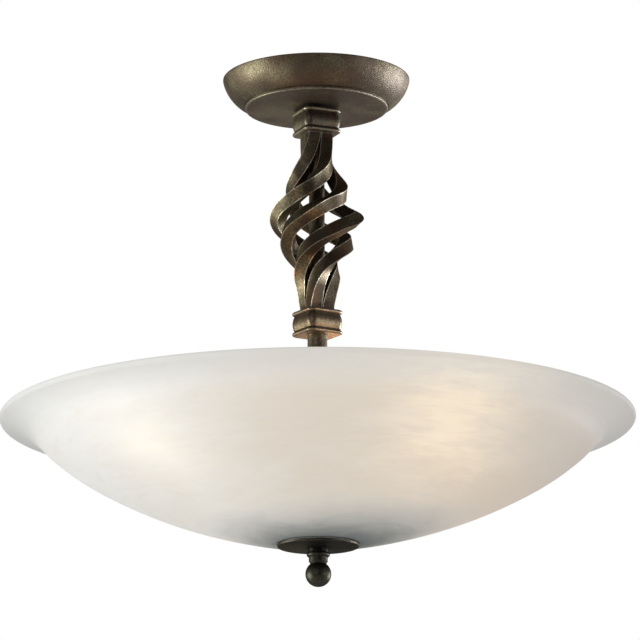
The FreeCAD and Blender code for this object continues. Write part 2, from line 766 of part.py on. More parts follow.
ring("centre_rod", "pipe_radius", "pipe_bore",
     "stem_top + rod_engagement - cap_bottom + finial_engagement", "stem_top + rod_engagement")
cluster_body()
ring("cluster_cover", "cluster_flats / 2 - running_fit", "pipe_hole", "cover_thickness",
     "cluster_bottom")
nut("cluster_nut", "cover_bottom")
for number in range(LAMPS):
    socket_arm(number)
    socket(number)
    screw_shell(number)
    centre_contact(number)
    bulb_base(number)
    bulb_glass(number)
ring("stop_washer", "stop_radius", "pipe_hole", "stop_thickness",
     "bowl_floor + gasket_thickness + stop_thickness")
nut("stop_nut", "bowl_floor + gasket_thickness + stop_thickness + nut_thickness")
ring("upper_gasket", "stop_radius", "pipe_pass", "gasket_thickness",
     "bowl_floor + gasket_thickness")
glass_bowl()
ring("lower_gasket", "gasket_radius", "pipe_pass", "gasket_thickness", "bowl_seat")
bowl_cap()
finial()

doc.recompute()
for item in doc.Objects:
    if any(word in item.State for word in ("Invalid", "Error")):
        raise RuntimeError(f"{item.Name} failed: {item.State}")
for item in parts:
    if item.Shape.isNull() or not item.Shape.isValid() or not item.Shape.Solids:
        raise RuntimeError(f"{item.Label} has no valid shape")

os.makedirs("parts", exist_ok=True)
for item in parts:
    item.Shape.exportStep(f"parts/{item.Label}.step")
    box = item.Shape.BoundBox
    print(f"{item.Label:18s} {len(item.Shape.Solids)} solid {item.Shape.Volume:12.1f} mm3"
          f"  z {box.ZMin:8.2f} {box.ZMax:8.2f}  r {max(box.XMax, -box.XMin):7.2f}")
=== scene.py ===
"""Looks of the semi flush ceiling light: its finishes, its threads, the studio and the camera.

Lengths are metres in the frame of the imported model: the ceiling is at z = 0 and the light hangs below it.
The camera stands on the -Y side, so x runs to the picture's right.
"""

import logging
import math
from dataclasses import dataclass, field
from enum import Enum
from typing import ClassVar, Union

import bmesh
import bpy
from mathutils import Matrix, Vector


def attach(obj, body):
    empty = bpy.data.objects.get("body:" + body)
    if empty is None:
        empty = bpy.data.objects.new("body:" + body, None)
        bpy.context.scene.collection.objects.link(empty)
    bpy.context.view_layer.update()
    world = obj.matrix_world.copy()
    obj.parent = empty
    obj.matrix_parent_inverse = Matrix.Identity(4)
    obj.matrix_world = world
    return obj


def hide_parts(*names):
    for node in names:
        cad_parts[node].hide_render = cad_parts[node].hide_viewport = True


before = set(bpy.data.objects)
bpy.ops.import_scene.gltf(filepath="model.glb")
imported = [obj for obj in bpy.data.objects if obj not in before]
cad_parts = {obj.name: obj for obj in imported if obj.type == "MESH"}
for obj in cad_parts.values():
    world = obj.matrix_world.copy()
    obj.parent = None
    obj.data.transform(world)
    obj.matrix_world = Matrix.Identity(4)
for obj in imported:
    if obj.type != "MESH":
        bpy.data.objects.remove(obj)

LOG = logging.getLogger("ceiling_light")
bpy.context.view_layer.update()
MM = 0.001
LAMP_TURNS = (200.0, 320.0, 80.0)

Colour = tuple[float, float, float]
Point = tuple[float, float, float]
Span = tuple[float, float]
Outline = tuple[Span, ...]
Socket = bpy.types.NodeSocket
Number = Union["Wire", float]


class Sum(Enum):
    """What the Math and Vector Math nodes work out here."""

    ADD = "ADD"
    SUBTRACT = "SUBTRACT"
    MULTIPLY = "MULTIPLY"
    DIVIDE = "DIVIDE"
    POWER = "POWER"
    LENGTH = "LENGTH"


class Wire:
    """A number on its way through a material's nodes, which takes part in plain sums."""

    def __init__(self, graph: "Graph", socket: Socket) -> None:
        """Hold a socket of the graph's tree."""
        self.graph = graph
        self.socket = socket

    def sum(self, operation: Sum, first: Number, second: Number, clamp: bool = False) -> "Wire":
        """Add a Math node.

        Args:
            operation: what it works out.
            first: its first number.
            second: its second number.
            clamp: whether the outcome is held between 0 and 1.

        Returns:
            The outcome.
        """
        settings = {"operation": operation.value, "use_clamp": clamp}
        made = self.graph.node("ShaderNodeMath", settings, {0: first, 1: second})
        return Wire(self.graph, made.outputs[0])

    def __add__(self, other: Number) -> "Wire":
        """Give self + other."""
        return self.sum(Sum.ADD, self, other)

    def __radd__(self, other: Number) -> "Wire":
        """Give other + self."""
        return self.sum(Sum.ADD, other, self)

    def __sub__(self, other: Number) -> "Wire":
        """Give self - other."""
        return self.sum(Sum.SUBTRACT, self, other)

    def __rsub__(self, other: Number) -> "Wire":
        """Give other - self."""
        return self.sum(Sum.SUBTRACT, other, self)

    def __mul__(self, other: Number) -> "Wire":
        """Give self * other."""
        return self.sum(Sum.MULTIPLY, self, other)

    def __truediv__(self, other: Number) -> "Wire":
        """Give self / other."""
        return self.sum(Sum.DIVIDE, self, other)

    def __rtruediv__(self, other: Number) -> "Wire":
        """Give other / self."""
        return self.sum(Sum.DIVIDE, other, self)

    def __pow__(self, other: Number) -> "Wire":
        """Give self to the power of other."""
        return self.sum(Sum.POWER, self, other)

    def held(self) -> "Wire":
        """Give self held between 0 and 1."""
        return self.sum(Sum.ADD, self, 0.0, clamp=True)

    def step(self, low: float, high: float) -> "Wire":
        """Give a smooth step of self.

        Args:
            low: where the step starts, at 0.
            high: where it ends, at 1. It may be less than low, for a step down.

        Returns:
            The step, from 0 to 1.
        """
        settings = {"interpolation_type": "SMOOTHSTEP"}
        ends = {"Value": self, "From Min": min(low, high), "From Max": max(low, high),
                "To Min": 0.0 if low < high else 1.0, "To Max": 1.0 if low < high else 0.0}
        return Wire(self.graph, self.graph.node("ShaderNodeMapRange", settings, ends).outputs["Result"])


class Graph:
    """The node tree of a material or of the world, built through one method."""

    def __init__(self, owner: bpy.types.ID) -> None:
        """Empty a node tree and start afresh.

        Args:
            owner: the material or world that the tree belongs to.
        """
        owner.use_nodes = True
        self.tree = owner.node_tree
        self.tree.nodes.clear()
        self.place = None

    def node(self, kind: str, settings: dict | None = None, sockets: dict | None = None) -> bpy.types.Node:
        """Add a node.

        Args:
            kind: the node's type.
            settings: its own settings, set first.
            sockets: values, wires or sockets for its inputs, by name or number.

        Returns:
            The node.
        """
        made = self.tree.nodes.new(kind)
        for name, setting in (settings or {}).items():
            setattr(made, name, setting)
        for name, given in (sockets or {}).items():
            if isinstance(given, Wire):
                given = given.socket
            if isinstance(given, Socket):
                self.tree.links.new(given, made.inputs[name])
            elif isinstance(given, tuple) and len(given) == 3 and made.inputs[name].type == "RGBA":
                made.inputs[name].default_value = (*given, 1.0)
            else:
                made.inputs[name].default_value = given
        return made

    def spot(self) -> Socket:
        """Give the point's place on the piece, in metres."""
        if self.place is None:
            self.place = self.node("ShaderNodeTexCoord").outputs["Object"]
        return self.place

    def axis(self, letter: str) -> Wire:
        """Give the place's X, Y or Z."""
        return Wire(self, self.node("ShaderNodeSeparateXYZ", sockets={0: self.spot()}).outputs[letter])

    def stretched(self, scale: Point, turn: Point = (0.0, 0.0, 0.0)) -> Socket:
        """Stretch and turn the place, so that a pattern read at it lies drawn out.

        Args:
            scale: how much the place is scaled along x, y and z.
            turn: how much it is turned about x, y and z, in degrees.

        Returns:
            The new place.
        """
        turns = tuple(math.radians(a) for a in turn)
        return self.node("ShaderNodeMapping", sockets={"Vector": self.spot(), "Scale": scale,
                                                       "Rotation": turns}).outputs[0]

    def noise(self, scale: float, detail: float = 2.0, roughness: float = 0.5, distortion: float = 0.0,
              place: Socket | None = None) -> Wire:
        """Give a Noise texture.

        Args:
            scale: features to the metre.
            detail: octaves.
            roughness: how much the finer octaves count.
            distortion: how much the pattern swirls.
            place: the place to read, or the piece's own.

        Returns:
            The noise, about 0.5.
        """
        sockets = {"Vector": place or self.spot(), "Scale": scale, "Detail": detail,
                   "Roughness": roughness, "Distortion": distortion}
        return Wire(self, self.node("ShaderNodeTexNoise", sockets=sockets).outputs[0])

    def near(self, centre: Point, reach: float, stretch: Point = (1.0, 1.0, 1.0)) -> Wire:
        """Give a soft blob.

        Args:
            centre: its middle, in metres.
            reach: the distance at which it has fallen to a ninth.
            stretch: how much less it reaches along x, y and z.

        Returns:
            1 at the centre, falling to 0.
        """
        settings = {"operation": Sum.SUBTRACT.value}
        away = self.node("ShaderNodeVectorMath", settings, {0: self.spot(), 1: centre})
        thin = self.node("ShaderNodeVectorMath", {"operation": Sum.MULTIPLY.value},
                         {0: away.outputs[0], 1: stretch})
        far = self.node("ShaderNodeVectorMath", {"operation": Sum.LENGTH.value}, {0: thin.outputs[0]})
        return 1.0 / (1.0 + (Wire(self, far.outputs["Value"]) / reach) ** 2.0 * 2.0) ** 2.0

    def out(self) -> Wire:
        """Give the distance from the light's upright axis, in metres."""
        across, along = self.axis("X"), self.axis("Y")
        return (across * across + along * along) ** 0.5

    def ring(self, radius: float, level: float, width: float) -> Wire:
        """Give a thin ring round the upright axis.

        Args:
            radius: the ring's radius.
            level: its height.
            width: how far from its line it has gone.

        Returns:
            1 near the line, falling to 0.
        """
        aside, above = self.out() - radius, self.axis("Z") - level
        return ((aside * aside + above * above) ** 0.5).step(width, width * 0.25)

    def band(self, low: float, high: float, soft: float = 0.4 * MM) -> Wire:
        """Give a level band.

        Args:
            low: its lower edge.
            high: its upper edge.
            soft: how far outside its edges it has gone.

        Returns:
            1 between the two heights, falling to 0.
        """
        level = self.axis("Z")
        return level.step(low - soft, low) * level.step(high + soft, high)

    def colour(self, factor: object, low: object, high: object) -> Socket:
        """Lay one colour over another.

        Args:
            factor: how much of the second shows.
            low: the first colour or socket.
            high: the second colour or socket.

        Returns:
            The colour's socket.
        """
        settings = {"data_type": "RGBA", "clamp_factor": True}
        return self.node("ShaderNodeMix", settings, {0: factor, 6: low, 7: high}).outputs[2]

    def bump(self, height: Wire, depth: float, strength: float = 1.0) -> Socket:
        """Give a Normal from a height.

        Args:
            height: the height, from 0 to 1.
            depth: what 1 stands for, in metres.
            strength: how strongly it shows.

        Returns:
            The Normal's socket.
        """
        sockets = {"Height": height, "Distance": depth, "Strength": strength}
        return self.node("ShaderNodeBump", sockets=sockets).outputs[0]

    def nook(self, reach: float, inside: bool = False) -> Wire:
        """Give how little room a point has round it.

        Args:
            reach: how far round it the room is looked at.
            inside: whether the room inside the piece counts, which is least along outward edges, or the room
                outside it, which is least in grooves and corners.

        Returns:
            0 with all the room, up to 1 with none.
        """
        settings = {"inside": inside, "only_local": inside, "samples": 8}
        made = self.node("ShaderNodeAmbientOcclusion", settings, {"Distance": reach})
        return 1.0 - Wire(self, made.outputs["AO"])

    def surface(self, shader: Socket) -> None:
        """Join a shader to the output."""
        self.node("ShaderNodeOutputMaterial", sockets={"Surface": shader})

    def principled(self, sockets: dict) -> Socket:
        """Add the main shader with those sockets and give its outcome."""
        return self.node("ShaderNodeBsdfPrincipled", sockets=sockets).outputs[0]


@dataclass(frozen=True)
class Layer:
    """A colour that lies over the skin where a mask passes its span."""

    colour: Colour
    span: Span
    share: float = 1.0

    def over(self, skin: Colour | Socket, mask: Wire) -> Socket:
        """Lay the colour over a skin.

        Args:
            skin: the colour below.
            mask: where the layer lies.

        Returns:
            The colour's socket.
        """
        return mask.graph.colour(mask.step(*self.span) * self.share, skin, self.colour)


@dataclass(frozen=True)
class Finish:
    """What every finish has: a name and a way to paint its node tree. Its spans are steps' two ends."""

    name: str
    made: ClassVar[dict[str, bpy.types.Material]] = {}

    def paint(self, graph: Graph) -> Socket:
        """Build the nodes in the graph and give the shader."""
        raise NotImplementedError

    def material(self) -> bpy.types.Material:
        """Give the material of this finish, which is made on the first call.

        Returns:
            The one material of that name.
        """
        if self.name not in self.made:
            self.made[self.name] = bpy.data.materials.new(self.name)
            graph = Graph(self.made[self.name])
            graph.surface(self.paint(graph))
        return self.made[self.name]


@dataclass(frozen=True)
class AgedBronze(Finish):
    """Oil rubbed bronze: dark umber with a gold bloom and a fine grain. Its pale edges, beads and rings are
    partly bare metal where the finish has gone and partly painted highlights; its corners and grooves hold
    dark wax and painted shade.
    """

    dark: Colour = (0.048, 0.034, 0.024)
    bloom: Colour = (0.140, 0.122, 0.076)
    bloom_span: Span = (0.38, 0.66)
    cloud_scale: float = 26.0
    copper: Colour = (0.175, 0.082, 0.036)
    copper_share: float = 0.40
    copper_span: Span = (0.54, 0.68)
    patch_scale: float = 38.0
    fleck: Colour = (0.36, 0.31, 0.19)
    fleck_share: float = 0.42
    fleck_span: Span = (0.52, 0.66)
    fleck_cloud: Span = (0.30, 0.60)
    fleck_scale: float = 980.0
    # Pale edge colour: bare metal where the finish has gone, and painted highlights along edges, beads and
    # rings.
    rubbed_and_highlight: Colour = (0.57, 0.52, 0.41)
    rubbed_and_highlight_grit: Span = (0.32, 0.58)
    wear_and_highlight: float = 1.0
    wear_and_highlight_reach: float = 1.5 * MM
    wear_and_highlight_span: Span = (0.20, 0.46)
    rings: tuple[Span, ...] = ()
    ring_width: float = 1.3 * MM
    bands: tuple[Span, ...] = ()
    band_wear_and_highlight: float = 0.15
    # Near black: dark wax and painted shade in corners and grooves.
    shade_and_wax: Colour = (0.008, 0.006, 0.005)
    shade_and_wax_share: float = 0.85
    shade_and_wax_reach: float = 3.0 * MM
    shade_and_wax_span: Span = (0.40, 0.90)
    grooves: tuple[Span, ...] = ()
    groove_edge: float = 0.3 * MM
    grain: float = 0.22 * MM
    grains: float = 560.0
    grain_span: Span = (0.60, 0.38)
    grain_share: float = 0.6
    pit_scale: float = 1500.0
    gloss: float = 0.45
    coat: float = 0.10
    coat_gloss: float = 0.36
    grazing: Colour = (1.0, 1.0, 1.0)
    metal: float = 0.90

    def worn_and_highlit(self, graph: Graph) -> Wire:
        """Find the pale edges, bare metal where the finish has gone and painted highlights together: along
        named rings, or along outward edges and bands.

        Args:
            graph: where the nodes go.

        Returns:
            1 where the edge is palest, from bare metal and painted highlight.
        """
        if self.rings:
            masks = [graph.ring(radius, level, self.ring_width) for radius, level in self.rings]
            return sum(masks[1:], masks[0]).held() * self.wear_and_highlight
        edge = graph.nook(self.wear_and_highlight_reach, inside=True).step(*self.wear_and_highlight_span) * self.wear_and_highlight
        for low, high in self.bands:
            edge = edge + graph.band(low, high) * self.band_wear_and_highlight
        return edge.held()

    def shaded_and_waxed(self, graph: Graph) -> Wire:
        """Find where dark wax and painted shade lie: in corners and in named grooves.

        Args:
            graph: where the nodes go.

        Returns:
            1 where it is darkest.
        """
        deep = graph.nook(self.shade_and_wax_reach).step(*self.shade_and_wax_span)
        for low, high in self.grooves:
            deep = deep + graph.band(low, high, self.groove_edge)
        return deep.held()

    def paint(self, graph: Graph) -> Socket:
        """Build the nodes.

        Args:
            graph: where they go.

        Returns:
            The shader.
        """
        cloud = graph.noise(self.cloud_scale, 3.0, 0.55)
        aslant = graph.stretched((1.0, 1.0, 0.7), (20.0, 35.0, 10.0))
        patch = graph.noise(self.patch_scale, 2.0, 0.5, 0.6, aslant)
        grit = graph.noise(self.grains, 2.0, 0.6)
        pits = graph.noise(self.pit_scale, 1.0, 0.5)
        skin = graph.colour(cloud.step(*self.bloom_span), self.dark, self.bloom)
        skin = graph.colour(patch.step(*self.copper_span) * self.copper_share, skin, self.copper)
        skin = graph.colour(grit.step(*self.grain_span) * self.grain_share, skin, self.dark)
        flecks = (graph.noise(self.fleck_scale, 2.0, 0.55).step(*self.fleck_span)
                  * cloud.step(*self.fleck_cloud))
        skin = graph.colour(flecks * self.fleck_share, skin, self.fleck)
        # Pale edges: partly bare metal, partly painted highlights.
        edge = (self.worn_and_highlit(graph) * (grit.step(*self.rubbed_and_highlight_grit) * 0.7 + 0.3)).held()
        skin = graph.colour(edge, skin, self.rubbed_and_highlight)
        # Dark wax and painted shade in corners and grooves.
        skin = graph.colour(self.shaded_and_waxed(graph) * self.shade_and_wax_share, skin, self.shade_and_wax)
        return graph.principled({
            "Base Color": skin, "Metallic": self.metal, "Specular Tint": self.grazing,
            "Roughness": (self.gloss + (pits - 0.5) * 0.30 - edge * 0.10).held(),
            "Coat Weight": self.coat, "Coat Roughness": self.coat_gloss,
            "Normal": graph.bump(grit * 0.75 + pits * 0.25, self.grain, 0.9)})


@dataclass(frozen=True)
class ZincPlate(Finish):
    """Zinc plated steel with faint clouding and drawing marks."""

    base: Colour = (0.56, 0.56, 0.54)
    tint: Layer = Layer((0.62, 0.60, 0.50), (0.35, 0.70))
    # Darker where little room is round it, in corners and grooves.
    nook_darkening: Layer = Layer((0.06, 0.06, 0.055), (0.4, 0.95), 0.6)
    nook_darkening_reach: float = 2.0 * MM
    cloud_scale: float = 60.0
    scratch_scale: float = 900.0
    scratch_depth: float = 0.02 * MM

    def paint(self, graph: Graph) -> Socket:
        """Build the nodes.

        Args:
            graph: where they go.

        Returns:
            The shader.
        """
        cloud = graph.noise(self.cloud_scale, 4.0, 0.6)
        scratch = graph.noise(self.scratch_scale, 2.0, 0.6, place=graph.stretched((1.0, 1.0, 0.15)))
        skin = self.nook_darkening.over(self.tint.over(self.base, cloud), graph.nook(self.nook_darkening_reach))
        return graph.principled({
            "Base Color": skin, "Metallic": 1.0, "Roughness": (cloud * 0.25 + 0.22).held(),
            "Normal": graph.bump(scratch, self.scratch_depth, 0.6)})


@dataclass(frozen=True)
class LampBrass(Finish):
    """Thin rolled brass, a little dull in its grooves."""

    base: Colour = (0.80, 0.60, 0.28)
    dull: Layer = Layer((0.62, 0.46, 0.24), (0.35, 0.75))
    tarnish: Layer = Layer((0.16, 0.10, 0.04), (0.3, 0.9), 0.6)
    tarnish_reach: float = 2.0 * MM
    cloud_scale: float = 140.0
    dents: float = 0.05 * MM

    def paint(self, graph: Graph) -> Socket:
        """Build the nodes.

        Args:
            graph: where they go.

        Returns:
            The shader.
        """
        cloud = graph.noise(self.cloud_scale, 3.0, 0.6)
        skin = self.tarnish.over(self.dull.over(self.base, cloud), graph.nook(self.tarnish_reach))
        return graph.principled({
            "Base Color": skin, "Metallic": 1.0, "Roughness": (cloud * 0.2 + 0.18).held(),
            "Normal": graph.bump(cloud, self.dents, 0.4)})


@dataclass(frozen=True)
class GlazedPorcelain(Finish):
    """White porcelain under a clear glaze."""

    base: Colour = (0.80, 0.79, 0.75)
    warm: Layer = Layer((0.76, 0.74, 0.68), (0.3, 0.7))
    speck: Layer = Layer((0.45, 0.40, 0.33), (0.74, 0.80), 0.5)
    # This layer lies where little room is round it: darker in hollows and corners.
    dust: Layer = Layer((0.42, 0.38, 0.32), (0.4, 1.0), 0.4)
    hollow_darkening_reach: float = 4.0 * MM
    cloud_scale: float = 70.0
    speck_scale: float = 1100.0
    waves: float = 0.3 * MM

    def paint(self, graph: Graph) -> Socket:
        """Build the nodes.

        Args:
            graph: where they go.

        Returns:
            The shader.
        """
        cloud = graph.noise(self.cloud_scale, 3.0, 0.5)
        skin = self.speck.over(self.warm.over(self.base, cloud), graph.noise(self.speck_scale, 1.0, 0.5))
        skin = self.dust.over(skin, graph.nook(self.hollow_darkening_reach))
        return graph.principled({
            "Base Color": skin, "Roughness": (cloud * 0.12 + 0.12).held(), "Coat Weight": 0.5,
            "Coat Roughness": 0.08, "Normal": graph.bump(cloud, self.waves, 0.3)})


@dataclass(frozen=True)
class LitBulb(Finish):
    """Soft white lamp glass, lit, warmest round its middle."""

    place: Point = (0.0, 0.0, 0.0)
    reach: float = 34.0 * MM
    reach_span: Span = (0.05, 0.45)
    neck_glow: Colour = (0.62, 0.44, 0.27)
    middle_glow: Colour = (1.0, 0.83, 0.60)
    strength: float = 0.9
    frost: tuple[Colour, Colour] = ((0.80, 0.78, 0.73), (0.84, 0.82, 0.78))
    frost_scale: float = 1300.0
    frost_depth: float = 0.02 * MM

    def paint(self, graph: Graph) -> Socket:
        """Build the nodes.

        Args:
            graph: where they go.

        Returns:
            The shader.
        """
        middle = graph.near(self.place, self.reach)
        frost = graph.noise(self.frost_scale, 2.0, 0.6)
        glow = graph.colour(middle.step(*self.reach_span), self.neck_glow, self.middle_glow)
        return graph.principled({
            "Base Color": graph.colour(frost, *self.frost), "Roughness": (frost * 0.1 + 0.25).held(),
            "Emission Color": glow, "Emission Strength": self.strength,
            "Normal": graph.bump(frost, self.frost_depth, 0.3)})


@dataclass(frozen=True)
class AlabasterGlass(Finish):
    """White glass swirled like alabaster, satin outside, with the lamps' glow coming through it painted on
    as emission, and painted light and shade on its sides, lip and foot.
    """

    white: Colour = (0.835, 0.835, 0.815)
    cream: Colour = (0.775, 0.695, 0.600)
    # Painted light: whiter on the left, where the key light falls.
    lit_side: Span = (0.02, -0.18)
    smoke: Layer = Layer((0.655, 0.622, 0.568), (0.45, 0.80), 0.34)
    # Painted shade: tan on the right, away from the key light.
    tan: Layer = Layer((0.59, 0.515, 0.46), (0.08, 0.25), 0.75)
    # Painted shade, warm, low on the right.
    warm_shade: Colour = (0.74, 0.60, 0.47)
    warm_shade_share: float = 0.5
    warm_shade_side: Span = (0.0, 0.13)
    warm_shade_levels: Span = (-0.322, -0.352)
    # Painted light: a paler, cooler band on the lip, which faces down.
    lip: Layer = Layer((0.80, 0.815, 0.815), (-0.312, -0.290), 0.5)
    rim: Colour = (0.60, 0.60, 0.585)
    rim_back: Span = (-0.12, 0.06)
    rim_side: Span = (0.05, 0.25)
    tip_levels: Span = (-0.2880, -0.2862)
    tip_reach: Span = (0.2500, 0.2525)
    tip_side: Span = (0.05, -0.18)
    # Painted shade: a wide grey-green ring round the foot.
    wide_foot_shade: Colour = (0.68, 0.70, 0.68)
    wide_foot_shade_share: float = 0.7
    # Painted shadow close to the cap, where the parts inside the bowl block the lamps.
    foot: Colour = (0.15, 0.168, 0.165)
    foot_span: Span = (0.114, 0.022)
    # Painted glow: emission stands in for the bulbs' light coming through the glass.
    glow: Colour = (1.0, 0.79, 0.52)
    through: Colour = (0.27, 0.252, 0.225)
    through_side: Span = (0.13, 0.26)
    strength: float = 0.42
    glows: tuple[tuple[Point, float, float], ...] = (
        ((-0.127, -0.134, -0.330), 0.84, 82.0 * MM), ((0.110, -0.184, -0.310), 0.78, 84.0 * MM),
        ((0.096, -0.158, -0.338), 0.78, 90.0 * MM), ((0.112, -0.098, -0.345), 0.42, 58.0 * MM),
        ((0.074, -0.204, -0.304), 0.26, 50.0 * MM), ((0.032, 0.194, -0.327), 0.90, 80.0 * MM))
    glow_stretch: Point = (1.0, 1.0, 0.65)
    swirl_scale: float = 7.0
    vein_scale: float = 15.0
    cloud_scale: float = 4.0
    streak_scale: float = 34.0
    ripple: float = 1.2 * MM
    specular: float = 0.14

    def body(self, graph: Graph, swirl: Wire, vein: Wire) -> Socket:
        """Colour the glass: whiter to the left in painted light, tan to the right and warmer low on the
        right in painted shade, smoky veins, and a paler lip band in painted light.

        Args:
            graph: where the nodes go.
            swirl: the broad swirls.
            vein: the fine veins.

        Returns:
            The colour, before the rim's and the foot's shade.
        """
        cloud = graph.noise(self.cloud_scale, 2.0, 0.5, 0.8)
        across, height = graph.axis("X"), graph.axis("Z")
        # Painted light makes the left whiter; swirls and clouds vary it.
        pale = across.step(*self.lit_side) * 0.9 + (swirl - 0.5) * 0.9 + (cloud - 0.5) * 0.6
        skin = graph.colour(pale.held(), self.cream, self.white)
        # Smoky veins, then painted shade on the right.
        skin = self.tan.over(self.smoke.over(skin, vein), across)
        # Painted warm shade low on the right.
        low = height.step(*self.warm_shade_levels) * across.step(*self.warm_shade_side)
        skin = graph.colour(low * self.warm_shade_share, skin, self.warm_shade)
        # Painted light on the lip band.
        return self.lip.over(skin, height)

    def turned(self, graph: Graph) -> Wire:
        """Find where the lip turns away from the lamps' light: at the back, and on its round end.

        Args:
            graph: where the nodes go.

        Returns:
            1 where it is turned furthest.
        """
        across, height = graph.axis("X"), graph.axis("Z")
        back = height.step(*self.lip.span) * graph.axis("Y").step(*self.rim_back)
        tip = self.tip(graph) * (0.20 + across.step(*self.tip_side) * 0.22)
        return (back * (0.85 - across.step(*self.rim_side) * 0.45) + tip).held()

    def tip(self, graph: Graph) -> Wire:
        """Find the lip's round end."""
        return graph.axis("Z").step(*self.tip_levels) * graph.out().step(*self.tip_reach)

    def light(self, graph: Graph, swirl: Wire, vein: Wire) -> Wire:
        """Add up the painted glows in front of the lamps, streaked by the glass.

        Args:
            graph: where the nodes go.
            swirl: the broad swirls.
            vein: the fine veins.

        Returns:
            The light, about 1 in front of a lamp.
        """
        spots = [graph.near(centre, reach, self.glow_stretch) * level for centre, level, reach in self.glows]
        drawn = graph.stretched((1.0, 1.0, 10.0), (-2.0, 2.0, 50.0))
        streak = graph.noise(self.streak_scale, 3.0, 0.55, 0.9, drawn)
        return sum(spots[1:], spots[0]) * (
            0.84 + (vein - 0.5) * 1.1 + (swirl - 0.5) * 0.6 + (streak - 0.5) * 1.1)

    def paint(self, graph: Graph) -> Socket:
        """Build the nodes.

        Args:
            graph: where they go.

        Returns:
            The shader.
        """
        level = graph.stretched((1.0, 1.0, 3.2), (4.0, -3.0, 0.0))
        swirl = graph.noise(self.swirl_scale, 3.0, 0.55, 1.6, level)
        aslant = graph.stretched((1.0, 1.0, 6.0), (-3.0, 4.0, 20.0))
        vein = graph.noise(self.vein_scale, 4.0, 0.60, 1.8, aslant)
        across, turned = graph.axis("X"), self.turned(graph)
        shade = (graph.out() + (vein - 0.5) * 0.03 - across * 0.15).step(*self.foot_span)
        skin = graph.colour(turned, self.body(graph, swirl, vein), self.rim)
        # Painted shade round the foot: a wide grey-green ring, then the dark shadow by the cap.
        skin = graph.colour(shade ** 0.5 * self.wide_foot_shade_share, skin, self.wide_foot_shade)
        skin = graph.colour(shade ** 1.5, skin, self.foot)
        # Painted glow: faint and even, shut off at the foot, the lip's back and the right side, and strong
        # in front of the lamps.
        closed = (shade + turned + across.step(*self.through_side) * 0.35).held()
        spread = graph.colour(closed, self.through, (0.0, 0.0, 0.0))
        strong = (self.light(graph, swirl, vein) * 0.8 - shade * 0.5).held()
        return graph.principled({
            "Base Color": skin, "Roughness": (vein * 0.16 + self.tip(graph) * 0.25 + 0.42).held(),
            "Specular IOR Level": self.specular, "Emission Color": graph.colour(strong, spread, self.glow),
            "Emission Strength": self.strength, "Normal": graph.bump(swirl, self.ripple, 0.2)})


@dataclass(frozen=True)
class SoftGasket(Finish):
    """Milky rubber with a dull, slightly dusty skin."""

    base: Colour = (0.72, 0.71, 0.67)
    dust: Layer = Layer((0.62, 0.60, 0.55), (0.4, 0.7))
    dust_scale: float = 420.0
    dust_depth: float = 0.08 * MM

    def paint(self, graph: Graph) -> Socket:
        """Build the nodes.

        Args:
            graph: where they go.

        Returns:
            The shader.
        """
        dust = graph.noise(self.dust_scale, 3.0, 0.6)
        return graph.principled({"Base Color": self.dust.over(self.base, dust),
                                 "Roughness": (dust * 0.2 + 0.55).held(),
                                 "Normal": graph.bump(dust, self.dust_depth, 0.4)})


@dataclass(frozen=True)
class PaleFloor(Finish):
    """A pale matt floor that fades out far from the light and can't be seen from below."""

    tones: tuple[Colour, Colour] = ((0.90, 0.90, 0.90), (0.93, 0.93, 0.93))
    cloud_scale: float = 3.0
    fade: Span = (1.3, 2.9)

    def paint(self, graph: Graph) -> Socket:
        """Build the nodes.

        Args:
            graph: where they go.

        Returns:
            The shader.
        """
        skin = graph.colour(graph.noise(self.cloud_scale, 2.0, 0.5), *self.tones)
        matt = graph.principled({"Base Color": skin, "Roughness": 0.9})
        under = Wire(graph, graph.node("ShaderNodeNewGeometry").outputs["Backfacing"])
        gone = (graph.out().step(*self.fade) + under).held()
        clear = graph.node("ShaderNodeBsdfTransparent").outputs[0]
        return graph.node("ShaderNodeMixShader", sockets={0: gone, 1: matt, 2: clear}).outputs[0]


@dataclass(frozen=True)
class DarkDrapes(Finish):
    """Matt grey cloth, near black on the camera's side and overhead, and paler behind the light."""

    near: Colour = (0.11, 0.108, 0.105)
    behind: Colour = (0.45, 0.42, 0.385)
    behind_span: Span = (-4.5, 6.5)
    right_span: Span = (1.0, 7.0)
    right_share: float = 0.3
    overhead: Span = (3.4, 2.8)
    fold: Colour = (0.05, 0.05, 0.05)
    fold_share: float = 0.3
    fold_scale: float = 1.2

    def paint(self, graph: Graph) -> Socket:
        """Build the nodes.

        Args:
            graph: where they go.

        Returns:
            The shader.
        """
        fold = graph.noise(self.fold_scale, 2.0, 0.5, place=graph.stretched((1.0, 1.0, 0.1)))
        right = graph.axis("X").step(*self.right_span) * self.right_share
        light = (graph.axis("Y").step(*self.behind_span) + right).held()
        light = light * graph.axis("Z").step(*self.overhead)
        skin = graph.colour(light, self.near, self.behind)
        skin = graph.colour(fold * self.fold_share, skin, self.fold)
        return graph.principled({"Base Color": skin, "Roughness": 0.9, "Specular IOR Level": 0.1})


